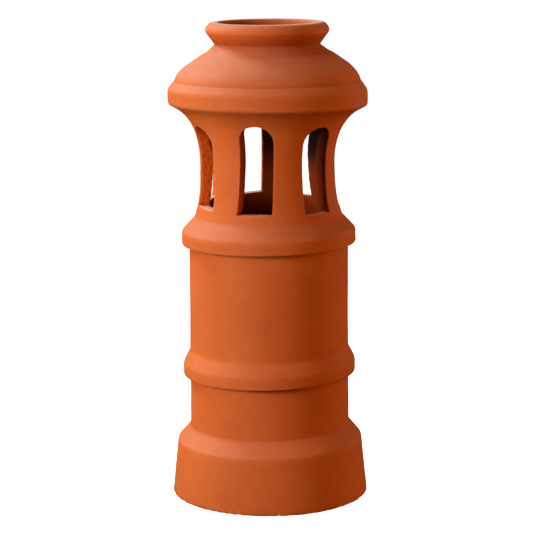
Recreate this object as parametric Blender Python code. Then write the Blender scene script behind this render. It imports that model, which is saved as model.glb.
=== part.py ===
"""Terracotta chimney pot with a windowed lantern under a domed cap.

The pot is one hollow turning in fired clay: splayed foot, plain shaft with a band and a
collar, a waisted lantern cut through by arched windows, an overhanging cap, a dome and a
rolled rim. Metres, +Z up, origin at the centre of the underside. One window faces -Y.
"""

import bpy
import bmesh
from math import cos, pi, sin, tau
from mathutils import Matrix, Vector

# Walls
WALL = 0.022
FOOT_WALL = 0.025
THROAT_WALL = 0.018

# Foot
PLINTH_HEIGHT = 0.1065
PLINTH_PROJECTION = 0.0243
PLINTH_SPLAY = 0.011
PLINTH_WEATHERING = 0.0280

# Shaft
SHAFT_RADIUS = 0.1527
SHAFT_DRAW = 0.0017
LOWER_SHAFT = 0.0985
UPPER_SHAFT = 0.202

# Band round the shaft
BAND_PROJECTION = 0.0128
BAND_FACE = 0.0235
BAND_WEATHERING = 0.0257

# Collar at the head of the shaft
COLLAR_PROJECTION = 0.0142
COLLAR_FACE = 0.0262
COLLAR_WEATHERING = 0.0263

# Waisted lantern
NECK_SET_IN = 0.0107
WAIST_RADIUS = 0.1285
WAIST_RISE = 0.096
FLARE_RISE = 0.105
FLARE_RADIUS = 0.171

# Cap
CAP_OVERHANG = 0.017
CAP_UNDERCUT = 0.009
CAP_FACE = 0.028
CAP_WEATHERING = 0.0165
CAP_SET_BACK = 0.0125

# Dome and saddle
DOME_RISE = 0.0534
DOME_HEAD_RADIUS = 0.1165
SADDLE_RISE = 0.0142
THROAT_RADIUS = 0.0990

# Rolled rim
RIM_FLARE_RISE = 0.0203
RIM_FLARE = 0.0148
RIM_BULGE = 0.0031
RIM_ROLL_RISE = 0.0209
RIM_LAND = 0.0147
MOUTH_RADIUS = 0.0893

# Windows of the lantern
WINDOW_COUNT = 7
WINDOW_WIDTH = 0.0625
WINDOW_SILL_WIDTH = 0.0675
WINDOW_SILL_ABOVE_COLLAR = 0.019
WINDOW_HEIGHT = 0.165
JAMB_TAPER = 0.12

# Facets
STEPS_PER_WINDOW = 8
CURVE_PIECES = 8
JOIN_PIECES = 4
ARCH_PIECES = 12

TERRACOTTA = (0.56, 0.145, 0.042, 1.0)


def clear_objects():
    for item in list(bpy.data.objects):
        bpy.data.objects.remove(item, do_unlink=True)


def terracotta():
    material = bpy.data.materials.new("terracotta")
    material.use_nodes = True
    shader = material.node_tree.nodes["Principled BSDF"]
    shader.inputs["Base Color"].default_value = TERRACOTTA
    shader.inputs["Roughness"].default_value = 0.85
    shader.inputs["Metallic"].default_value = 0.0
    return material


def curve(start, start_pull, end_pull, end, pieces=CURVE_PIECES):
    """Points along a cubic curve from start to end, both included."""
    a, b, c, d = (Vector(point) for point in (start, start_pull, end_pull, end))
    points = []
    for step in range(pieces + 1):
        t = step / pieces
        s = 1 - t
        points.append(a * s ** 3 + b * (3 * s * s * t) + c * (3 * s * t * t) + d * t ** 3)
    return points


def inward(points, depth):
    """The same run of points moved in by the wall, square to the run."""
    moved = []
    for index, point in enumerate(points):
        ahead = points[min(index + 1, len(points) - 1)]
        behind = points[max(index - 1, 0)]
        along = (ahead - behind).normalized()
        moved.append(point + Vector((-along.y, along.x)) * depth)
    return moved


def heights():
    """Height above the underside of each joint between two mouldings."""
    rises = (
        ("plinth_top", PLINTH_HEIGHT), ("shaft_foot", PLINTH_WEATHERING),
        ("band_under", LOWER_SHAFT), ("band_edge", BAND_FACE), ("band_top", BAND_WEATHERING),
        ("collar_under", UPPER_SHAFT), ("collar_edge", COLLAR_FACE),
        ("neck_foot", COLLAR_WEATHERING), ("waist", WAIST_RISE), ("flare_top", FLARE_RISE),
        ("cap_under", CAP_UNDERCUT), ("cap_edge", CAP_FACE), ("dome_foot", CAP_WEATHERING),
        ("dome_head", DOME_RISE), ("throat", SADDLE_RISE), ("rim_low", RIM_FLARE_RISE),
        ("mouth", RIM_ROLL_RISE),
    )
    height = 0.0
    at = {}
    for name, rise in rises:
        height += rise
        at[name] = height
    return at


def neck_curves(at):
    """Outer lines of the lantern, bottom to top: foot to waist, and waist to flare."""
    foot = Vector((SHAFT_RADIUS - SHAFT_DRAW - NECK_SET_IN, at["neck_foot"]))
    waist = Vector((WAIST_RADIUS, at["waist"]))
    flare = Vector((FLARE_RADIUS, at["flare_top"]))
    lower = curve(foot, foot + Vector((WAIST_RADIUS - foot.x, WAIST_RISE * 0.4)),
                  waist - Vector((0, WAIST_RISE * 0.45)), waist)
    upper = curve(waist, waist + Vector((0, FLARE_RISE * 0.48)),
                  flare - Vector((FLARE_RISE * 0.27, FLARE_RISE * 0.17)), flare)
    return lower, upper


def dome_curve(at):
    """Outer line of the dome, bottom to top."""
    foot = Vector((FLARE_RADIUS + CAP_OVERHANG - CAP_SET_BACK, at["dome_foot"]))
    head = Vector((DOME_HEAD_RADIUS, at["dome_head"]))
    return curve(foot, foot + Vector((-DOME_RISE * 0.08, DOME_RISE * 0.34)),
                 head + Vector((DOME_RISE * 0.66, -DOME_RISE * 0.37)), head)


def rim_curve(at):
    """Outer line of the rolled rim, from its widest flare up to the flat land on top."""
    low = Vector((THROAT_RADIUS + RIM_FLARE, at["rim_low"]))
    land = Vector((MOUTH_RADIUS + RIM_LAND, at["mouth"]))
    return curve(low, low + Vector((RIM_BULGE * 2, RIM_ROLL_RISE * 0.42)),
                 land + Vector((RIM_BULGE * 2.6, 0)), land)


def outer_line(at):
    """Outside of the pot in the XZ plane, bottom to top."""
    shaft_head = SHAFT_RADIUS - SHAFT_DRAW
    band_seat = SHAFT_RADIUS - SHAFT_DRAW / 2
    band = band_seat + BAND_PROJECTION
    collar = shaft_head + COLLAR_PROJECTION
    cap = FLARE_RADIUS + CAP_OVERHANG
    plinth = SHAFT_RADIUS + PLINTH_PROJECTION
    lower, upper = neck_curves(at)
    line = [
        Vector((plinth + PLINTH_SPLAY, 0)),
        Vector((plinth, at["plinth_top"])),
        Vector((SHAFT_RADIUS, at["shaft_foot"])),
        Vector((band_seat, at["band_under"])),
        Vector((band, at["band_under"])),
        Vector((band, at["band_edge"])),
        Vector((band_seat, at["band_top"])),
        Vector((shaft_head, at["collar_under"])),
        Vector((collar, at["collar_under"])),
        Vector((collar, at["collar_edge"])),
    ]
    line += lower + upper[1:]
    line += [Vector((cap, at["cap_under"])), Vector((cap, at["cap_edge"]))]
    line += dome_curve(at)
    line += [Vector((THROAT_RADIUS, at["throat"]))]
    line += rim_curve(at)
    return line


def join(run, following):
    """Points of a smooth turn from the end of one run to the start of the next, ends left out."""
    start, end = run[-1], following[0]
    reach = (end - start).length / 3
    leaving = (start - run[-2]).normalized() * reach
    arriving = (following[1] - end).normalized() * reach
    return curve(start, start + leaving, end - arriving, end, JOIN_PIECES)[1:-1]


def inner_line(at):
    """Inside of the pot in the XZ plane, bottom to top, a wall's thickness within the outside."""
    plinth = SHAFT_RADIUS + PLINTH_PROJECTION
    bore = SHAFT_RADIUS - WALL
    shaft = [
        Vector((plinth + PLINTH_SPLAY - FOOT_WALL, 0)),
        Vector((plinth - WALL, at["plinth_top"] - WALL / 2)),
        Vector((bore, at["shaft_foot"])),
        Vector((bore - SHAFT_DRAW, at["collar_edge"])),
    ]
    lower, upper = neck_curves(at)
    neck = inward(lower + upper[1:], WALL)[2::2]
    dome = inward(dome_curve(at), WALL)[2::2]
    throat = [
        Vector((THROAT_RADIUS - THROAT_WALL, at["throat"])),
        Vector((MOUTH_RADIUS, at["mouth"])),
    ]
    return shaft + join(shaft, neck) + neck + join(neck, dome) + dome + join(dome, throat) + throat


def turned_body(at):
    """The closed outline of the wall, spun into the hollow pot by a Screw modifier."""
    outline = list(reversed(outer_line(at))) + inner_line(at)
    mesh = bpy.data.meshes.new("chimney_pot")
    bm = bmesh.new()
    verts = [bm.verts.new((point.x, 0, point.y)) for point in outline]
    for index, vert in enumerate(verts):
        bm.edges.new((vert, verts[(index + 1) % len(verts)]))
    bm.to_mesh(mesh)
    bm.free()
    pot = bpy.data.objects.new("chimney_pot", mesh)
    bpy.context.scene.collection.objects.link(pot)
    turn = pot.modifiers.new("turned on the wheel", "SCREW")
    turn.axis = "Z"
    turn.angle = tau
    turn.steps = STEPS_PER_WINDOW * WINDOW_COUNT
    turn.render_steps = turn.steps
    turn.merge_threshold = 0.00001
    turn.use_smooth_shade = True
    return pot


def window_outline(at):
    """Arched window seen from the front: sill, straight jambs and a round head."""
    sill = at["neck_foot"] + WINDOW_SILL_ABOVE_COLLAR
    radius = WINDOW_WIDTH / 2
    spring = sill + WINDOW_HEIGHT - radius
    points = [Vector((-WINDOW_SILL_WIDTH / 2, sill)), Vector((WINDOW_SILL_WIDTH / 2, sill))]
    for step in range(ARCH_PIECES + 1):
        turn = pi * step / ARCH_PIECES
        points.append(Vector((radius * cos(turn), spring + radius * sin(turn))))
    return points


def window_cutter(at):
    """All the window cutters: arched prisms that narrow a little towards the flue."""
    near = WAIST_RADIUS - 2 * WALL
    far = FLARE_RADIUS + CAP_OVERHANG
    mesh = bpy.data.meshes.new("window_cutter")
    bm = bmesh.new()
    for index in range(WINDOW_COUNT):
        rings = []
        for distance in (near, far):
            width = 1 + (distance - WAIST_RADIUS) * 2 * JAMB_TAPER / WINDOW_WIDTH
            rings.append([bm.verts.new((point.x * width, -distance, point.y)) for point in window_outline(at)])
        inside, outside = rings
        faces = [bm.faces.new(outside), bm.faces.new(reversed(inside))]
        for corner in range(len(inside)):
            following = (corner + 1) % len(inside)
            faces.append(bm.faces.new((inside[corner], inside[following], outside[following], outside[corner])))
        bmesh.ops.rotate(bm, verts=inside + outside, cent=(0, 0, 0),
                         matrix=Matrix.Rotation(tau * index / WINDOW_COUNT, 3, "Z"))
    bmesh.ops.recalc_face_normals(bm, faces=bm.faces)
    bm.to_mesh(mesh)
    bm.free()
    cutter = bpy.data.objects.new("window_cutter", mesh)
    bpy.context.scene.collection.objects.link(cutter)
    cutter.hide_render = True
    cutter.display_type = "WIRE"
    return cutter


def chimney_pot():
    at = heights()
    pot = turned_body(at)
    cut = pot.modifiers.new("windows", "BOOLEAN")
    cut.operation = "DIFFERENCE"
    cut.solver = "EXACT"
    cut.object = window_cutter(at)
    pot.data.materials.append(terracotta())
    return pot


clear_objects()
chimney_pot()
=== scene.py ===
"""Looks of the terracotta chimney pot: camera, the pot in fired clay, floor and studio light.

The pot is one piece of clay, so one mesh stands for its solid. Metres, +Z up, origin at the centre
of the underside, with one window facing -Y.
"""

from collections import namedtuple
from math import asin, atan2, ceil, cos, hypot, pi, radians, sin, sqrt, tau

import bmesh
import bpy
from mathutils import Matrix, Vector, noise
from mathutils.geometry import interpolate_bezier


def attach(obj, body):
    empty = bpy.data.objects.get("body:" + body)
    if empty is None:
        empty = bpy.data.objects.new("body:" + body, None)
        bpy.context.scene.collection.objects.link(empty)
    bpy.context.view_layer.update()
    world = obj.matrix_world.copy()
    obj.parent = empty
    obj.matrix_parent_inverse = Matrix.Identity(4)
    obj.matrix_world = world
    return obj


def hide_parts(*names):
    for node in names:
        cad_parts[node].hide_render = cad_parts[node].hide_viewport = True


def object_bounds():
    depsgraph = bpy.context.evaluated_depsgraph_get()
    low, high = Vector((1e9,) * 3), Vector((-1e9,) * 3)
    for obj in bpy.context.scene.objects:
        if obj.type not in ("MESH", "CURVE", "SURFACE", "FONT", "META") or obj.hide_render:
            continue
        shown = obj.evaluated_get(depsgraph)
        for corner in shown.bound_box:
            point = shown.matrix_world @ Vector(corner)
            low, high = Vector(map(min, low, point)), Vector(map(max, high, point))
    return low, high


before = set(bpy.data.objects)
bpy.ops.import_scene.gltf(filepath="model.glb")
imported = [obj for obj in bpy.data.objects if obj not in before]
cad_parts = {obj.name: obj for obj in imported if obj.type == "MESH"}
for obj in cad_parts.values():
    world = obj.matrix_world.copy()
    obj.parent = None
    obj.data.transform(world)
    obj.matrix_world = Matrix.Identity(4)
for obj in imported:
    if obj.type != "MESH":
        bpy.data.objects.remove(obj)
cad_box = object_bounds()


# The camera
# It stands a little to the right of the front window and looks down on the pot through a long lens.
# The roll and the sideways aim are the photograph's own.
CAMERA_BEARING = radians(9.5)
CAMERA_DISTANCE = 3.672
CAMERA_HEIGHT = 1.117
CAMERA_DIP = radians(10.53)
CAMERA_ROLL = radians(-0.39)
CAMERA_AIM = radians(0.038)
LENS_LENGTH = 132.0
SENSOR_WIDTH = 36.0

view = bpy.data.cameras.new("camera")
view.lens = LENS_LENGTH
view.sensor_width = SENSOR_WIDTH
camera = bpy.data.objects.new("camera", view)
bpy.context.scene.collection.objects.link(camera)
camera.matrix_world = (
    Matrix.Rotation(CAMERA_BEARING, 4, "Z")
    @ Matrix.Translation((0, -CAMERA_DISTANCE, CAMERA_HEIGHT))
    @ Matrix.Rotation(CAMERA_AIM, 4, "Z")
    @ Matrix.Rotation(pi / 2 - CAMERA_DIP, 4, "X")
    @ Matrix.Rotation(CAMERA_ROLL, 4, "Z")
)
bpy.context.scene.camera = camera


# The pot's clay, turned and pressed in one piece
# Terracotta, thrown hollow: splayed foot, shaft with a band and a collar, cap, dome and rolled rim.
# The wall's section is drawn as lines of (radius, height, softness of the corner) and spun.
MOUTH_HEIGHT = cad_box[1].z
FOOT_RADIUS = cad_box[1].x
WALL = 0.022
LANTERN_WALL = 0.0237
SEAT_RADIUS = 0.1750
PLINTH_HEAD = Vector((0.1770, 0, 0.1065))
SHAFT_FOOT = Vector((0.1527, 0, 0.1345))
SHAFT_MIDDLE_RADIUS = 0.15185
BAND_RADIUS = 0.16465
BAND_FOOT = 0.2330
BAND_SHOULDER = 0.2565
BAND_HEAD = 0.2822
SHAFT_HEAD_RADIUS = 0.1510
COLLAR_RADIUS = 0.1652
COLLAR_FOOT = 0.4842
COLLAR_SHOULDER = 0.5104
BORE_HEAD_RADIUS = 0.1283
NECK_FOOT = Vector((0.1403, 0, 0.5367))
WAIST = Vector((0.1285, 0, 0.6327))
FLARE = Vector((0.1710, 0, 0.7377))
CAP_FOOT = 0.7467
CAP_EDGE = 0.7747
DOME_FOOT = Vector((0.1755, 0, 0.7912))
DOME_HEAD = Vector((0.1165, 0, 0.8440))
THROAT = Vector((0.0990, 0, 0.8582))
ROLL_FOOT = Vector((0.1150, 0, 0.8800))
LAND_RADIUS = 0.1030
MOUTH_RADIUS = 0.0893
MOUTH_LIP = (0.0880, 0.8930, 0)
# The lantern's wall is thinner towards its sills, by this much, from this height down.
SILL_THINNING = 0.0042
THINNING_HEAD = 0.6400
THINNING_REACH = 0.0850
# Where the lines of the neck and of the dome start on the inside.
INNER_NECK_FOOT = 0.5440
INNER_DOME_RADIUS = 0.146
# Heights at which the spun clay meets the lantern, and the longest steps along a section.
LANTERN_FOOT = 0.5400
LANTERN_HEAD = 0.7340
OUTER_PITCH = 0.0090
INNER_PITCH = 0.0300
COLUMNS = 224
# Points round each rubbed corner, and how near it stays to the sharp one.
CORNER_POINTS = 4
CORNER_FULLNESS = 0.6


def bow(start, start_pull, end_pull, end, pieces=16):
    """Points (radius, height, 0) along a curve whose two pulls are offsets from its ends."""
    spots = interpolate_bezier(start, start + Vector(start_pull), end + Vector(end_pull), end, pieces + 1)
    return [(spot.x, spot.z, 0) for spot in spots]


def rubbed(section, pitch):
    """The section with its corners rubbed round and its straights stepped finely enough to wave."""
    spots = [Vector((radius, 0, height)) for radius, height, softness in section]
    line = [spots[0]]
    for index in range(1, len(section)):
        turn = [spots[index]]
        softness = section[index][2]
        if softness and index < len(section) - 1:
            corner = spots[index]
            start = corner + (spots[index - 1] - corner).normalized() * softness
            end = corner + (spots[index + 1] - corner).normalized() * softness
            pulls = (start.lerp(corner, CORNER_FULLNESS), end.lerp(corner, CORNER_FULLNESS))
            turn = interpolate_bezier(start, *pulls, end, CORNER_POINTS)
        last = line[-1]
        steps = max(1, ceil((turn[0] - last).length / pitch))
        line += [last.lerp(turn[0], step / steps) for step in range(1, steps)] + turn
    return line


def spun(clay, line):
    """Turns a section line a full turn about the pot's axis."""
    verts = [clay.verts.new(spot) for spot in line]
    edges = [clay.edges.new(pair) for pair in zip(verts, verts[1:])]
    bmesh.ops.spin(clay, geom=verts + edges, cent=(0, 0, 0), axis=(0, 0, 1), dvec=(0, 0, 0),
                   angle=tau, steps=COLUMNS, use_merge=True)


def clamped(value, most=1.0):
    """The value, kept from falling below nothing or rising above the most."""
    return max(0.0, min(most, value))


def radius_at(line, height):
    """Radius of a rising line of (radius, height, 0) at a height, between its points."""
    for low, high in zip(line, line[1:]):
        if height <= high[1]:
            share = (height - low[1]) / (high[1] - low[1])
            return low[0] + (high[0] - low[0]) * max(0.0, share)
    return line[-1][0]


def thinned(line, wall):
    """The line moved in towards the flue by the wall, square to itself."""
    moved = []
    for index, (radius, height, softness) in enumerate(line):
        behind = line[max(index - 1, 0)]
        ahead = line[min(index + 1, len(line) - 1)]
        along = Vector((ahead[0] - behind[0], ahead[1] - behind[1])).normalized()
        moved.append((radius - along.y * wall, height + along.x * wall, softness))
    return moved


neck_outside = (
    bow(NECK_FOOT, (WAIST.x - NECK_FOOT.x, 0, 0.0384), (0, 0, -0.0432), WAIST)
    + bow(WAIST, (0, 0, 0.0504), (-0.0284, 0, -0.0179), FLARE)[1:]
)
neck_inside = [(BORE_HEAD_RADIUS, COLLAR_SHOULDER, 0), (0.1245, 0.5300, 0)] + [
    (radius + SILL_THINNING * clamped((THINNING_HEAD - height) / THINNING_REACH), height, softness)
    for radius, height, softness in thinned(neck_outside, LANTERN_WALL)
    if INNER_NECK_FOOT < height
]
dome_outside = bow(DOME_FOOT, (-0.0043, 0, 0.0182), (0.0352, 0, -0.0198), DOME_HEAD)
dome_inside = [spot for spot in thinned(dome_outside, WALL) if spot[0] < INNER_DOME_RADIUS]

clay = bmesh.new()

# From the bore at the neck down to the seat and up the outside to the neck again.
bore = rubbed([
    (radius_at(neck_inside, LANTERN_FOOT), LANTERN_FOOT, 0),
    (BORE_HEAD_RADIUS, COLLAR_SHOULDER, 0.010),
    (0.1307, SHAFT_FOOT.z, 0.012),
    (0.1550, 0.0955, 0.012),
    (0.1630, 0.0, 0.003),
    (SEAT_RADIUS, 0.0, 0),
], INNER_PITCH)
body = rubbed([
    (SEAT_RADIUS, 0.0, 0),
    (FOOT_RADIUS, 0.0, 0.0018),
    (PLINTH_HEAD.x, PLINTH_HEAD.z, 0.0034),
    (SHAFT_FOOT.x, SHAFT_FOOT.z, 0.0030),
    (SHAFT_MIDDLE_RADIUS, BAND_FOOT, 0.0016),
    (BAND_RADIUS, BAND_FOOT, 0.0032),
    (BAND_RADIUS, BAND_SHOULDER, 0.0036),
    (SHAFT_MIDDLE_RADIUS, BAND_HEAD, 0.0040),
    (SHAFT_HEAD_RADIUS, COLLAR_FOOT, 0.0016),
    (COLLAR_RADIUS, COLLAR_FOOT, 0.0034),
    (COLLAR_RADIUS, COLLAR_SHOULDER, 0.0042),
    (NECK_FOOT.x, NECK_FOOT.z, 0.0030),
    (radius_at(neck_outside, LANTERN_FOOT), LANTERN_FOOT, 0),
], OUTER_PITCH)
spun(clay, bore + body[1:])

# From the flare out round the cap, over the dome and rim, and down inside to the lantern's head.
cap = rubbed([
    (radius_at(neck_outside, LANTERN_HEAD), LANTERN_HEAD, 0),
    (FLARE.x, FLARE.z, 0.0035),
    (FOOT_RADIUS, CAP_FOOT, 0.0042),
    (FOOT_RADIUS, CAP_EDGE, 0.0050),
    (0.1774, 0.7892, 0.0008),
    (DOME_FOOT.x, 0.7900, 0.0010),
    *dome_outside[2:-3],
    (0.1240, 0.8406, 0.0028),
    (DOME_HEAD.x, DOME_HEAD.z, 0.0035),
    (THROAT.x, THROAT.z, 0.0022),
    (0.1110, 0.8752, 0.0050),
    *bow(ROLL_FOOT, (0.0045, 0, 0.0062), (0.0090, 0, 0), Vector((LAND_RADIUS, 0, MOUTH_HEIGHT)), 12),
    (MOUTH_RADIUS, MOUTH_HEIGHT, 0.0028),
    MOUTH_LIP,
], OUTER_PITCH)
hollow = rubbed([
    MOUTH_LIP,
    (0.0810, 0.8588, 0.0100),
    *reversed(dome_inside),
    (0.1490, 0.7540, 0.010),
    (radius_at(neck_inside, LANTERN_HEAD), LANTERN_HEAD, 0),
], INNER_PITCH)
spun(clay, cap + hollow[1:])


# The lantern's windows
# Seven arch-topped openings cut through the leather-hard wall with a wire, so none is quite like the
# next. Each skin of the wall starts as a flat sheet, is cut, and is then rolled round the waist.
WINDOW_WIDTH = 0.0625
WINDOW_SILL = 0.5557
WINDOW_HEAD = 0.7207
ARRIS = 0.0019
# The sheet's rows from foot to head, and the columns and rows round each opening.
SHEET_ROWS = 54
SILL_ROW = 4
HEAD_ROW = 50
JAMB_ROWS = 37
HAUNCH_ROWS = HEAD_ROW - SILL_ROW - JAMB_ROWS
SILL_COLUMNS = 18
RELAXED_REACH = 5
RELAXED_TIMES = 30
JAMB_CUTS = 4
WELD = 0.00003

# How far each cut strayed, in metres: its jambs at the spring of the arch, the ends of its sill
# sideways and in height, its head, and how much squarer the arch comes through to the flue. The last
# two are how far its jambs close in towards the flue for each metre of wall. The windows run from
# the front round towards +X.
Cut = namedtuple(
    "Cut", "left right sill_left sill_right lift_left lift_right head squared left_taper right_taper")
CUTS = (
    Cut(0.0013, 0.0011, -0.0062, -0.0022, -0.0015, -0.0015, -0.0028, 0.010, 0.30, 0.05),
    Cut(0.0018, 0.0030, 0.0050, 0.0030, -0.0045, -0.0040, -0.0075, 0.010, 0.20, 0.20),
    Cut(0.0030, -0.0010, 0.0070, 0.0020, -0.0050, 0.0, -0.0020, 0.010, 0.20, 0.20),
    Cut(0.0050, 0.0, 0.0035, 0.0030, 0.0025, 0.0025, 0.0030, 0.010, 0.20, 0.20),
    Cut(0.0066, 0.0010, 0.0085, 0.0026, 0.0085, 0.0050, 0.0, 0.010, 0.20, 0.20),
    Cut(0.0080, 0.0020, 0.0034, 0.0030, 0.0095, 0.0060, 0.0010, 0.010, 0.20, 0.20),
    Cut(-0.0070, -0.0085, -0.0100, -0.0070, 0.0040, 0.0010, -0.0105, 0.001, 0.16, 0.20),
)
WINDOW_COUNT = len(CUTS)
COLUMNS_PER_WINDOW = COLUMNS // WINDOW_COUNT


def sheet_height(row):
    """Height of a row of the flat sheet, so that rows fall on the sills and on the heads."""
    if row <= SILL_ROW:
        return LANTERN_FOOT + (WINDOW_SILL - LANTERN_FOOT) * row / SILL_ROW
    if row <= HEAD_ROW:
        return WINDOW_SILL + (WINDOW_HEAD - WINDOW_SILL) * (row - SILL_ROW) / (HEAD_ROW - SILL_ROW)
    return WINDOW_HEAD + (LANTERN_HEAD - WINDOW_HEAD) * (row - HEAD_ROW) / (SHEET_ROWS - HEAD_ROW)


def straight_cut(start, end, shares):
    """Points (sideways, height) on a straight cut, at shares of the way from its start to its end."""
    return [(start[0] + (end[0] - start[0]) * share, start[1] + (end[1] - start[1]) * share)
            for share in shares]


def window_edge(cut, through):
    """Points (sideways, height) round an opening, from the left end of its sill, anticlockwise.

    The arch springs higher and rises less where it comes through to the flue: through is 0 at the
    outer skin and 1 at the inner.
    """
    squared = cut.squared * through
    spring = WINDOW_HEAD + cut.head - WINDOW_WIDTH / 2 + squared
    centre = (cut.left + cut.right) / 2
    reach = (WINDOW_WIDTH + cut.right - cut.left) / 2
    rise = WINDOW_WIDTH / 2 - squared / 2
    low_left = (cut.sill_left - WINDOW_WIDTH / 2, WINDOW_SILL + cut.lift_left)
    low_right = (cut.sill_right + WINDOW_WIDTH / 2, WINDOW_SILL + cut.lift_right)
    turns = [pi / 4 * step / HAUNCH_ROWS for step in range(HAUNCH_ROWS)]
    turns += [pi / 4 + pi / 2 * step / SILL_COLUMNS for step in range(SILL_COLUMNS)]
    turns += [pi * 3 / 4 + pi / 4 * step / HAUNCH_ROWS for step in range(HAUNCH_ROWS)]
    upward = [step / JAMB_ROWS for step in range(JAMB_ROWS)]
    downward = [1 - share for share in upward]
    sideways = [step / SILL_COLUMNS for step in range(SILL_COLUMNS)]
    return (straight_cut(low_left, low_right, sideways)
            + straight_cut(low_right, (centre + reach, spring), upward)
            + [(centre + reach * cos(turn), spring + rise * sin(turn)) for turn in turns]
            + straight_cut(low_left, (centre - reach, spring), downward))


def opening_places(middle):
    """Sheet places round an opening's hole, in the order of window_edge."""
    west = middle - SILL_COLUMNS // 2
    east = middle + SILL_COLUMNS // 2
    return ([(column, SILL_ROW) for column in range(west, east)]
            + [(east, row) for row in range(SILL_ROW, HEAD_ROW)]
            + [(column, HEAD_ROW) for column in range(east, west, -1)]
            + [(west, row) for row in range(HEAD_ROW, SILL_ROW, -1)])


def swing(sideways, radius, cut):
    """Angle off a window's middle at which its jamb, tapered towards the flue, meets a skin."""
    taper = cut.left_taper if sideways < 0 else cut.right_taper
    reach = sideways
    for _ in range(4):
        depth = sqrt(radius ** 2 - reach ** 2) - WAIST.x
        reach = sideways * (1 + depth * 2 * taper / WINDOW_WIDTH)
    return asin(reach / radius)


def lantern_skin(clay, line, through):
    """One skin of the lantern: a sheet with its windows cut, relaxed round them and rolled up."""
    sheet = bmesh.ops.create_grid(clay, x_segments=COLUMNS, y_segments=SHEET_ROWS, size=0.5)["verts"]
    place = {vert: (round((vert.co.x + 0.5) * COLUMNS), round((vert.co.y + 0.5) * SHEET_ROWS))
             for vert in sheet}
    at = {spot: vert for vert, spot in place.items()}
    column_width = tau * WAIST.x / COLUMNS
    half = SILL_COLUMNS // 2
    for vert, (column, row) in place.items():
        vert.co = ((column - COLUMNS / 2) * column_width, sheet_height(row), 0)
    waste = []
    near = []
    for window, cut in enumerate(CUTS):
        slot = (window + WINDOW_COUNT // 2) % WINDOW_COUNT
        middle = slot * COLUMNS_PER_WINDOW + COLUMNS_PER_WINDOW // 2
        for spot, (sideways, height) in zip(opening_places(middle), window_edge(cut, through)):
            turn = swing(sideways, radius_at(line, height), cut)
            at[spot].co = ((middle - COLUMNS / 2) * column_width + turn * WAIST.x, height, 0)
        for vert, (column, row) in place.items():
            aside = abs(column - middle)
            hole = aside <= half and SILL_ROW <= row <= HEAD_ROW
            if aside < half and SILL_ROW < row < HEAD_ROW:
                waste.append(vert)
            if aside <= half + RELAXED_REACH and 0 < row < SHEET_ROWS and not hole:
                near.append(vert)
    bmesh.ops.delete(clay, geom=waste, context="VERTS")
    for _ in range(RELAXED_TIMES):
        bmesh.ops.smooth_vert(clay, verts=near, factor=0.5, use_axis_x=True, use_axis_y=True)
    gone = set(waste)
    for vert in sheet:
        if vert not in gone:
            turn = vert.co.x / WAIST.x
            radius = radius_at(line, vert.co.y)
            vert.co = (radius * sin(turn), -radius * cos(turn), vert.co.y)


lantern_skin(clay, neck_outside, 0.0)
lantern_skin(clay, neck_inside, 1.0)
bmesh.ops.remove_doubles(clay, verts=clay.verts, dist=WELD)


def nearest_window(spot):
    """Number of the window nearest to a place, counted from the front towards +X."""
    return round(atan2(spot.x, -spot.y) / tau * WINDOW_COUNT) % WINDOW_COUNT


rims = {window: [] for window in range(WINDOW_COUNT)}
for edge in clay.edges:
    if edge.is_boundary:
        middle = (edge.verts[0].co + edge.verts[1].co) / 2
        rims[nearest_window(middle)].append(edge)
arrises = []
for rim in rims.values():
    arrises += rim
    cut_face = bmesh.ops.bridge_loops(clay, edges=rim)["faces"]
    skins = set(rim)
    across = dict.fromkeys(edge for face in cut_face for edge in face.edges if edge not in skins)
    bmesh.ops.subdivide_edges(clay, edges=list(across), cuts=JAMB_CUTS, use_grid_fill=True)
bmesh.ops.recalc_face_normals(clay, faces=clay.faces)
bmesh.ops.bevel(clay, geom=arrises, offset=ARRIS, offset_type="OFFSET", affect="EDGES", segments=3,
                profile=0.5, material=-1, clamp_overlap=True)
bmesh.ops.recalc_face_normals(clay, faces=clay.faces)


# Where the clay is cut or worn, and where shade and highlights are painted
# Four masks that the mesh carries for its finish: faces torn by the wire, painted shade inside the flue
# and on the cut faces, arrises rubbed by handling with a painted highlight along convex edges, and
# painted shade in creases and in the throat.
outer_profile = [
    (FOOT_RADIUS, 0.0, 0), (PLINTH_HEAD.x, PLINTH_HEAD.z, 0), (SHAFT_FOOT.x, SHAFT_FOOT.z, 0),
    (SHAFT_MIDDLE_RADIUS, BAND_FOOT - 0.0001, 0), (BAND_RADIUS, BAND_FOOT, 0),
    (BAND_RADIUS, BAND_SHOULDER, 0), (SHAFT_MIDDLE_RADIUS, BAND_HEAD, 0),
    (SHAFT_HEAD_RADIUS, COLLAR_FOOT - 0.0001, 0), (COLLAR_RADIUS, COLLAR_FOOT, 0),
    (COLLAR_RADIUS, COLLAR_SHOULDER, 0), *neck_outside, (FOOT_RADIUS, CAP_FOOT, 0),
    (FOOT_RADIUS, CAP_EDGE, 0), *dome_outside, (THROAT.x, THROAT.z, 0),
    (ROLL_FOOT.x, ROLL_FOOT.z, 0), (0.1175, 0.8880, 0), (LAND_RADIUS, MOUTH_HEIGHT, 0),
]
# Painted shade on the flue's walls fades out upwards over the second of these and is gone at the first.
FLUE_SHADE_TOP = 0.852
FLUE_SHADE_FADE = 0.030
# A cut face reaches this far past the windows, starts this deep under the skin and turns no further
# than this towards the outside or the flue. The last two tell the flue's own walls.
CUT_MARGIN = 0.004
SKIN_DEPTH = 0.0012
CUT_TURN = 0.6
FLUE_DEPTH = WALL * 0.7
FLUE_TURN = 0.3
# Shade deepens on the cut faces from this far left of the middle, over this much of the width.
SHADE_START = -0.075
SHADE_REACH = 0.09
SHADE_MOST = 0.8
# Right of this, painted shade also darkens the cut faces towards their inner arrises.
DARK_ARRIS_START = -0.080
# The rim's foot, where the painted shade in the throat is fullest; it fades out over this much upwards.
RIM_FOOT = 0.860
THROAT_SHADE_FADE = 0.020

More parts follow.
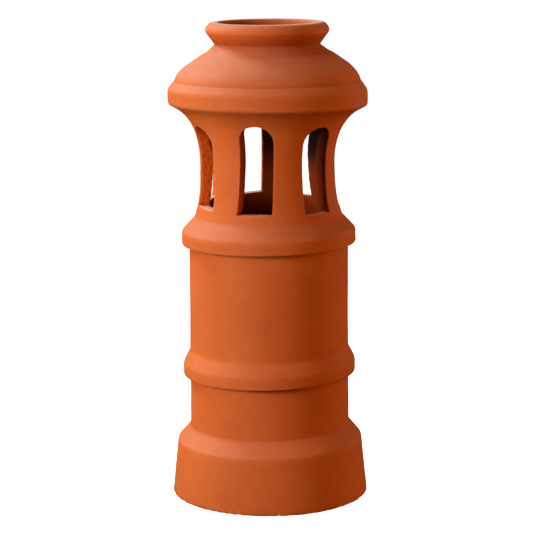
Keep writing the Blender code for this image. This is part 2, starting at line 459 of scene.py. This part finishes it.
raw = clay.verts.layers.float.new("cut_clay")
painted_inner_shade = clay.verts.layers.float.new("painted_inner_shade")
wear_and_highlight = clay.verts.layers.float.new("arris_wear_and_highlight")
crease_shade_layer = clay.verts.layers.float.new("painted_crease_shade")
clay.normal_update()
for vert in clay.verts:
    depth = radius_at(outer_profile, vert.co.z) - hypot(vert.co.x, vert.co.y)
    outward = vert.normal.dot(Vector((vert.co.x, vert.co.y, 0)).normalized())
    in_lantern = WINDOW_SILL - CUT_MARGIN < vert.co.z < WINDOW_HEAD + CUT_MARGIN
    if in_lantern and SKIN_DEPTH < depth < LANTERN_WALL and abs(outward) < CUT_TURN:
        vert[raw] = 1.0
        # Painted shade on the cut faces, deeper towards the right and towards the flue, less where they
        # face up.
        shade = clamped((vert.co.x - SHADE_START) / SHADE_REACH, SHADE_MOST)
        shade *= 1 - max(0.0, vert.normal.z)
        inner_arris = min(1.0, -outward * 2.5) if vert.co.x > DARK_ARRIS_START else 0.0
        vert[painted_inner_shade] = max(shade, inner_arris)
    elif depth > FLUE_DEPTH and outward < FLUE_TURN:
        # Painted shade on the flue's walls below the mouth.
        vert[painted_inner_shade] = clamped((FLUE_SHADE_TOP - vert.co.z) / FLUE_SHADE_FADE)
    bend = sum(edge.calc_face_angle_signed(0.0) for edge in vert.link_edges)
    # Convex arrises: rubbed lighter by handling, and also a painted highlight.
    vert[wear_and_highlight] = clamped(bend / 0.9)
    # Painted shade in concave creases.
    vert[crease_shade_layer] = clamped(-bend / 0.5 - 0.5)
    # Painted shade in the throat under the rim, fading upwards.
    if depth < 0.004 and RIM_FOOT - 0.003 < vert.co.z < RIM_FOOT + THROAT_SHADE_FADE:
        vert[crease_shade_layer] = max(vert[crease_shade_layer], 1 - max(0.0, vert.co.z - RIM_FOOT) / THROAT_SHADE_FADE)
for _ in range(2):
    spread = {}
    for vert in clay.verts:
        levels = [edge.other_vert(vert)[crease_shade_layer] for edge in vert.link_edges]
        spread[vert] = sum(levels) / len(levels)
    for vert, level in spread.items():
        vert[crease_shade_layer] = max(vert[crease_shade_layer] * 0.85, level)


# The hand of the maker
# Mouldings run out of level by a degree or so, the body isn't quite round, fingers and the wet sponge
# left rings, the wire tore the cut faces and the foot is chipped where the pot was dragged.
RIGHTWARD = Vector((cos(CAMERA_BEARING), sin(CAMERA_BEARING), 0))
FRONTWARD = Vector((sin(CAMERA_BEARING), -cos(CAMERA_BEARING), 0))
# Height, then how far it tips up to the right of the photograph and up to its front, in degrees.
SETTLED = (
    (0.0, 0.0, 0.0), (0.060, 0.25, 0.0), (0.1065, 0.8, 0.0), (0.1345, 1.1, 0.0), (0.245, 1.0, 0.0),
    (0.497, 0.76, 0.0), (0.600, 0.10, 0.0), (0.720, -0.5, 0.5), (0.760, -0.79, 1.2),
    (0.800, -0.1, 0.3), (0.825, 0.7, 0.2), (0.843, 0.9, 0.2), (0.859, 0.2, 1.4), (0.872, 0.2, 1.0),
    (0.900, 0.1, -0.2),
)
# Unevenness as (noise scale, depth in metres): the body's, and that of the torn faces.
BODY_WAVES = ((9.0, 0.0007), (32.0, 0.00030), (110.0, 0.00010))
TORN_WAVES = ((140.0, 0.0008), (420.0, 0.0006))
BOX_ROOM = 0.0006
# Rings from throwing, deeper on the dome than on the body.
RING_DEPTH = 0.00022
DOME_RING_DEPTH = 0.00043
# A thumb pressed the waist in on the right.
PRESSED_DEPTH = 0.0022
PRESSED_HEIGHT = 0.668
PRESSED_REACH = 0.085
# The mouth was opened a little to the left of the rim's middle.
MOUTH_SHIFT = 0.0026
MOUTH_SHIFT_REACH = 0.040
CHIP_REACH = 0.009
CHIP_DEPTH = 0.0030
CHIP_LIFT = 0.0016
# Painted contact shade along the ground fades out over this height.
CONTACT_SHADE_HEIGHT = 0.0035
MOUTH_ROOM = 0.0001


def settled(spot):
    """How far a place has sunk or risen where the mouldings run out of level."""
    for low, high in zip(SETTLED, SETTLED[1:]):
        if spot.z <= high[0]:
            break
    share = clamped((spot.z - low[0]) / (high[0] - low[0]))
    share = share * share * (3 - 2 * share)
    rightward = radians(low[1] + (high[1] - low[1]) * share)
    frontward = radians(low[2] + (high[2] - low[2]) * share)
    return spot.dot(RIGHTWARD) * rightward + spot.dot(FRONTWARD) * frontward


def uneven(spot, waves):
    """Height of an uneven surface at a place."""
    return sum(noise.noise(spot * scale) * depth for scale, depth in waves)


for vert in clay.verts:
    spot = vert.co.copy()
    radial = Vector((spot.x, spot.y, 0)).normalized()
    thrown = RING_DEPTH + DOME_RING_DEPTH * clamped((spot.z - DOME_FOOT.z) / 0.010)
    rings = noise.noise(Vector((0, 0, spot.z * 95.0))) * thrown
    rings += noise.noise(Vector((spot.x * 2.0, spot.y * 2.0, spot.z * 240.0))) * 0.00010
    pressed = max(0.0, radial.dot(RIGHTWARD))
    pressed *= max(0.0, 1 - abs(spot.z - PRESSED_HEIGHT) / PRESSED_REACH) * PRESSED_DEPTH
    vert.co += radial * (uneven(spot, BODY_WAVES) - BOX_ROOM - pressed) + vert.normal * rings
    if vert[raw]:
        vert.co += vert.normal * uneven(spot, TORN_WAVES)
    vert.co.z += settled(spot)
    lip = clamped((LAND_RADIUS - hypot(spot.x, spot.y)) / (LAND_RADIUS - MOUTH_RADIUS))
    lip *= max(0.0, (spot.z - RIM_FOOT) / MOUTH_SHIFT_REACH)
    vert.co -= RIGHTWARD * MOUTH_SHIFT * lip

# Chips along the foot: bites out of the arris, deepest where the noise runs highest.
for vert in clay.verts:
    reach = Vector((hypot(vert.co.x, vert.co.y) - FOOT_RADIUS, vert.co.z)).length
    if reach < CHIP_REACH:
        bearing = Vector((vert.co.x, vert.co.y, 0)).normalized()
        bite = noise.noise(bearing * 17.0) * 0.6 + noise.noise(bearing * 46.0) * 0.55 + 0.10
        bite = max(0.0, bite) * (1 - reach / CHIP_REACH)
        crumb = noise.noise(vert.co * 600.0) * 0.0004
        vert.co -= bearing * (bite * CHIP_DEPTH + crumb)
        vert.co.z += bite * CHIP_LIFT
        vert[raw] = max(vert[raw], min(1.0, bite * 2.2))
        vert[wear_and_highlight] = max(vert[wear_and_highlight], min(1.0, 0.6 + bite))
        # Painted contact shade along the ground line.
        vert[crease_shade_layer] = max(vert[crease_shade_layer], 1 - vert.co.z / CONTACT_SHADE_HEIGHT)

# The seat is brought down to the ground, and the rim alone is eased under the mouth's height.
low = min(vert.co.z for vert in clay.verts)
high = max(vert.co.z for vert in clay.verts)
squeeze = (MOUTH_HEIGHT - MOUTH_ROOM - RIM_FOOT) / (high - low - RIM_FOOT)
for vert in clay.verts:
    rise = vert.co.z - low
    over = max(0.0, rise - RIM_FOOT)
    vert.co.z = rise - over + over * squeeze
for face in clay.faces:
    face.smooth = True

pot_mesh = bpy.data.meshes.new("terracotta_pot")
clay.to_mesh(pot_mesh)
clay.free()
pot = bpy.data.objects.new("terracotta_pot", pot_mesh)
bpy.context.scene.collection.objects.link(pot)


# The fired clay
# Unglazed iron-red terracotta: a matt skin with blotches from the kiln, sponge streaks running round,
# a pale bloom of dust with painted top light and sheen on what faces up, rubbed arrises with a painted
# highlight, pits and grog where the clay was cut, and painted shade in creases, in the throat, inside
# the flue and on the cut faces.
CLAY = (0.580, 0.109, 0.017, 1.0)
CLAY_DARK = (0.490, 0.077, 0.009, 1.0)
CLAY_LIGHT = (0.640, 0.142, 0.030, 1.0)
# A pale bloom of dust on up-facing slopes, also painted sheen and light from above.
DUST_BLOOM_AND_SHEEN = (0.640, 0.320, 0.260, 1.0)
# Pale dust and painted top light where the clay faces straight up.
DUST_AND_TOP_LIGHT = (0.950, 0.440, 0.310, 1.0)
# Painted shade for creases, the throat and the ground line.
CREASE_SHADE = (0.240, 0.024, 0.002, 1.0)
# Rubbed arrises, also lighter as a painted highlight along convex edges.
ARRIS_WEAR_AND_HIGHLIGHT = (0.720, 0.250, 0.120, 1.0)
TORN_CLAY = (0.860, 0.125, 0.003, 1.0)
PIT = (0.050, 0.012, 0.006, 1.0)
# Painted shade inside the flue and on the cut faces, going from the first of these colours to the second
# between the two heights after them.
INNER_SHADE = (0.250, 0.028, 0.002, 1.0)
DEEPEST_SHADE = (0.012, 0.002, 0.004, 1.0)
DEEPEST_SHADE_FOOT = 0.600
DEEPEST_SHADE_HEAD = 0.650
SKIN_RELIEF = 0.0004

fired = bpy.data.materials.new("fired_terracotta")
fired.use_nodes = True
nodes = fired.node_tree.nodes
links = fired.node_tree.links
shader = nodes["Principled BSDF"]
shader.inputs["Metallic"].default_value = 0.0
shader.inputs["Specular IOR Level"].default_value = 0.15
place = nodes.new("ShaderNodeTexCoord")


def stretched(scale):
    """Object coordinates scaled, for a pattern that is drawn out round the pot."""
    mapping = nodes.new("ShaderNodeMapping")
    mapping.inputs["Scale"].default_value = scale
    links.new(place.outputs["Object"], mapping.inputs["Vector"])
    return mapping.outputs["Vector"]


def grain(scale, detail, roughness, vector=place.outputs["Object"]):
    """Noise from 0 to 1 over the clay."""
    texture = nodes.new("ShaderNodeTexNoise")
    texture.inputs["Scale"].default_value = scale
    texture.inputs["Detail"].default_value = detail
    texture.inputs["Roughness"].default_value = roughness
    links.new(vector, texture.inputs["Vector"])
    return texture.outputs["Fac"]


def between(value, low, high, to_low=0.0, to_high=1.0):
    """The value clamped and spread from one range to another."""
    spread = nodes.new("ShaderNodeMapRange")
    spread.inputs["From Min"].default_value = low
    spread.inputs["From Max"].default_value = high
    spread.inputs["To Min"].default_value = to_low
    spread.inputs["To Max"].default_value = to_high
    links.new(value, spread.inputs["Value"])
    return spread.outputs["Result"]


def worked_out(operation, first, second):
    """Sum or product of two masks, or of a mask and a number."""
    result = nodes.new("ShaderNodeMath")
    result.operation = operation
    links.new(first, result.inputs[0])
    if isinstance(second, float):
        result.inputs[1].default_value = second
    else:
        links.new(second, result.inputs[1])
    return result.outputs["Value"]


def times(first, second):
    """Product of two masks, or of a mask and a number."""
    return worked_out("MULTIPLY", first, second)


def plus(first, second):
    """Sum of two masks."""
    return worked_out("ADD", first, second)


def stained(under, over, mask):
    """One colour laid over another where the mask is high."""
    mix = nodes.new("ShaderNodeMix")
    mix.data_type = "RGBA"
    for socket, colour in ((mix.inputs["A"], under), (mix.inputs["B"], over)):
        if isinstance(colour, tuple):
            socket.default_value = colour
        else:
            links.new(colour, socket)
    links.new(mask, mix.inputs["Factor"])
    return mix.outputs["Result"]


def painted(name):
    """A mask that the mesh carries."""
    attribute = nodes.new("ShaderNodeAttribute")
    attribute.attribute_name = name
    return attribute.outputs["Fac"]


def upward_part(vector):
    """The upward part of a place or of a direction."""
    parts = nodes.new("ShaderNodeSeparateXYZ")
    links.new(vector, parts.inputs["Vector"])
    return parts.outputs["Z"]


facing_up = upward_part(nodes.new("ShaderNodeNewGeometry").outputs["Normal"])
height_up = upward_part(place.outputs["Object"])

blotches = grain(7.0, 4.0, 0.6)
patches = grain(26.0, 4.0, 0.6)
streaks = grain(1.0, 4.0, 0.6, stretched((5.0, 5.0, 130.0)))
fine = grain(900.0, 3.0, 0.7)
grit = grain(220.0, 3.0, 0.70)
specks = nodes.new("ShaderNodeTexVoronoi")
specks.inputs["Scale"].default_value = 210.0
links.new(place.outputs["Object"], specks.inputs["Vector"])

# The clay itself, from the kiln's blotches down to its finest grain.
colour = stained(CLAY_DARK, CLAY_LIGHT, between(blotches, 0.30, 0.72))
colour = stained(colour, CLAY, between(patches, 0.35, 0.65, 0.25, 0.85))
colour = stained(colour, CLAY_LIGHT, between(streaks, 0.55, 0.80, 0.0, 0.35))
colour = stained(colour, CLAY_DARK, between(fine, 0.58, 0.78, 0.0, 0.22))

# Then what was done to it: cut, dusted and rubbed; and painted sheen, highlights, top light and shade.
torn_colour = stained(TORN_CLAY, PIT, between(grit, 0.56, 0.62, 0.0, 0.70))
colour = stained(colour, torn_colour, times(painted("cut_clay"), 0.85))
# Pale dust bloom with painted sheen on slopes that face up.
bloom_and_sheen = times(between(facing_up, 0.25, 0.95, 0.0, 0.22), between(patches, 0.25, 0.70, 0.65, 1.0))
colour = stained(colour, DUST_BLOOM_AND_SHEEN, bloom_and_sheen)
# Pale dust and painted top light on what faces straight up, such as the rim's land.
colour = stained(colour, DUST_AND_TOP_LIGHT, between(facing_up, 0.92, 0.99, 0.0, 0.75))
# Rubbed arrises and a painted highlight along convex edges.
colour = stained(colour, ARRIS_WEAR_AND_HIGHLIGHT, times(painted("arris_wear_and_highlight"), between(grit, 0.35, 0.65, 0.08, 0.38)))
# Painted shade in creases, in the throat and along the ground.
colour = stained(colour, CREASE_SHADE, times(painted("painted_crease_shade"), 0.75))
# Painted shade inside the flue and on the cut faces, darkest high up.
inner_shade_colour = stained(INNER_SHADE, DEEPEST_SHADE, between(height_up, DEEPEST_SHADE_FOOT, DEEPEST_SHADE_HEAD))
colour = stained(colour, inner_shade_colour, times(painted("painted_inner_shade"), 0.97))
links.new(colour, shader.inputs["Base Color"])
dullness = plus(between(patches, 0.3, 0.7, 0.62, 0.78), times(painted("painted_inner_shade"), 0.22))
links.new(dullness, shader.inputs["Roughness"])

relief = plus(times(fine, 0.35), times(streaks, 1.1))
relief = plus(relief, times(times(painted("cut_clay"), grit), 7.0))
relief = plus(relief, times(between(specks.outputs["Distance"], 0.0, 0.28), 0.35))
skin = nodes.new("ShaderNodeBump")
skin.inputs["Strength"].default_value = 0.6
skin.inputs["Distance"].default_value = SKIN_RELIEF
links.new(relief, skin.inputs["Height"])
links.new(skin.outputs["Normal"], shader.inputs["Normal"])

pot_mesh.materials.append(fired)
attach(pot, "root")
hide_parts("chimney_pot")


# The floor
# A plain pale flat floor that stretches under and behind the pot. It throws no light back up at it.
FLOOR_REACH = 40.0
PALE = (0.8, 0.8, 0.8, 1.0)
WHITE = (1.0, 1.0, 1.0, 1.0)

floor_mesh = bpy.data.meshes.new("floor")
boards = bmesh.new()
bmesh.ops.create_grid(boards, x_segments=1, y_segments=1, size=FLOOR_REACH)
boards.to_mesh(floor_mesh)
boards.free()
floor = bpy.data.objects.new("floor", floor_mesh)
bpy.context.scene.collection.objects.link(floor)
pale = bpy.data.materials.new("pale_floor")
pale.use_nodes = True
pale_shader = pale.node_tree.nodes["Principled BSDF"]
pale_shader.inputs["Base Color"].default_value = PALE
pale_shader.inputs["Roughness"].default_value = 1.0
pale_shader.inputs["Specular IOR Level"].default_value = 0.0
pale_shader.inputs["Emission Color"].default_value = WHITE
pale_shader.inputs["Emission Strength"].default_value = 1.0
floor_mesh.materials.append(pale)
floor.visible_diffuse = False
floor.visible_glossy = False


# The studio light
# A broad soft light low on the left, a cool one behind the left shoulder and a weak one overhead for
# what faces up, a warm fill from the right and a faint cool edge behind it, in faint warm air.
LIGHT_REACH = 3.0
LIGHT_AIM = 0.45
WARM = (1.0, 0.50, 0.08)
AIR_LEVEL = 0.085


def soft_light(name, bearing, elevation, size, power, tint):
    """A square area light aimed at the pot's middle. Bearings run from the camera's to its right."""
    lamp = bpy.data.lights.new(name, "AREA")
    lamp.size = size
    lamp.energy = power
    lamp.color = tint
    light = bpy.data.objects.new(name, lamp)
    bpy.context.scene.collection.objects.link(light)
    light.matrix_world = (
        Matrix.Translation((0, 0, LIGHT_AIM))
        @ Matrix.Rotation(CAMERA_BEARING + radians(bearing), 4, "Z")
        @ Matrix.Rotation(pi / 2 - radians(elevation), 4, "X")
        @ Matrix.Translation((0, 0, LIGHT_REACH))
    )


soft_light("left_light", -56, 13, 1.0, 96.0, (0.98, 1.0, 1.0))
soft_light("shoulder_light", -126, 44, 0.9, 98.0, (0.50, 0.84, 1.0))
soft_light("top_light", -110, 76, 1.5, 21.0, (0.86, 0.96, 1.0))
soft_light("right_fill", 70, 3, 2.0, 45.0, WARM)
soft_light("edge_light", 118, 8, 1.2, 11.0, (0.45, 1.0, 1.0))

# The camera sees plain white behind the pot, and the pot feels only the faint warm air.
world = bpy.data.worlds.new("studio")
bpy.context.scene.world = world
world.use_nodes = True
air = world.node_tree.nodes["Background"]
seen = world.node_tree.nodes.new("ShaderNodeLightPath")
backdrop = world.node_tree.nodes.new("ShaderNodeMix")
backdrop.data_type = "RGBA"
backdrop.inputs["A"].default_value = (*[AIR_LEVEL * part for part in WARM], 1.0)
backdrop.inputs["B"].default_value = WHITE
world.node_tree.links.new(seen.outputs["Is Camera Ray"], backdrop.inputs["Factor"])
world.node_tree.links.new(backdrop.outputs["Result"], air.inputs["Color"])
bpy.context.scene.view_settings.view_transform = "Standard"
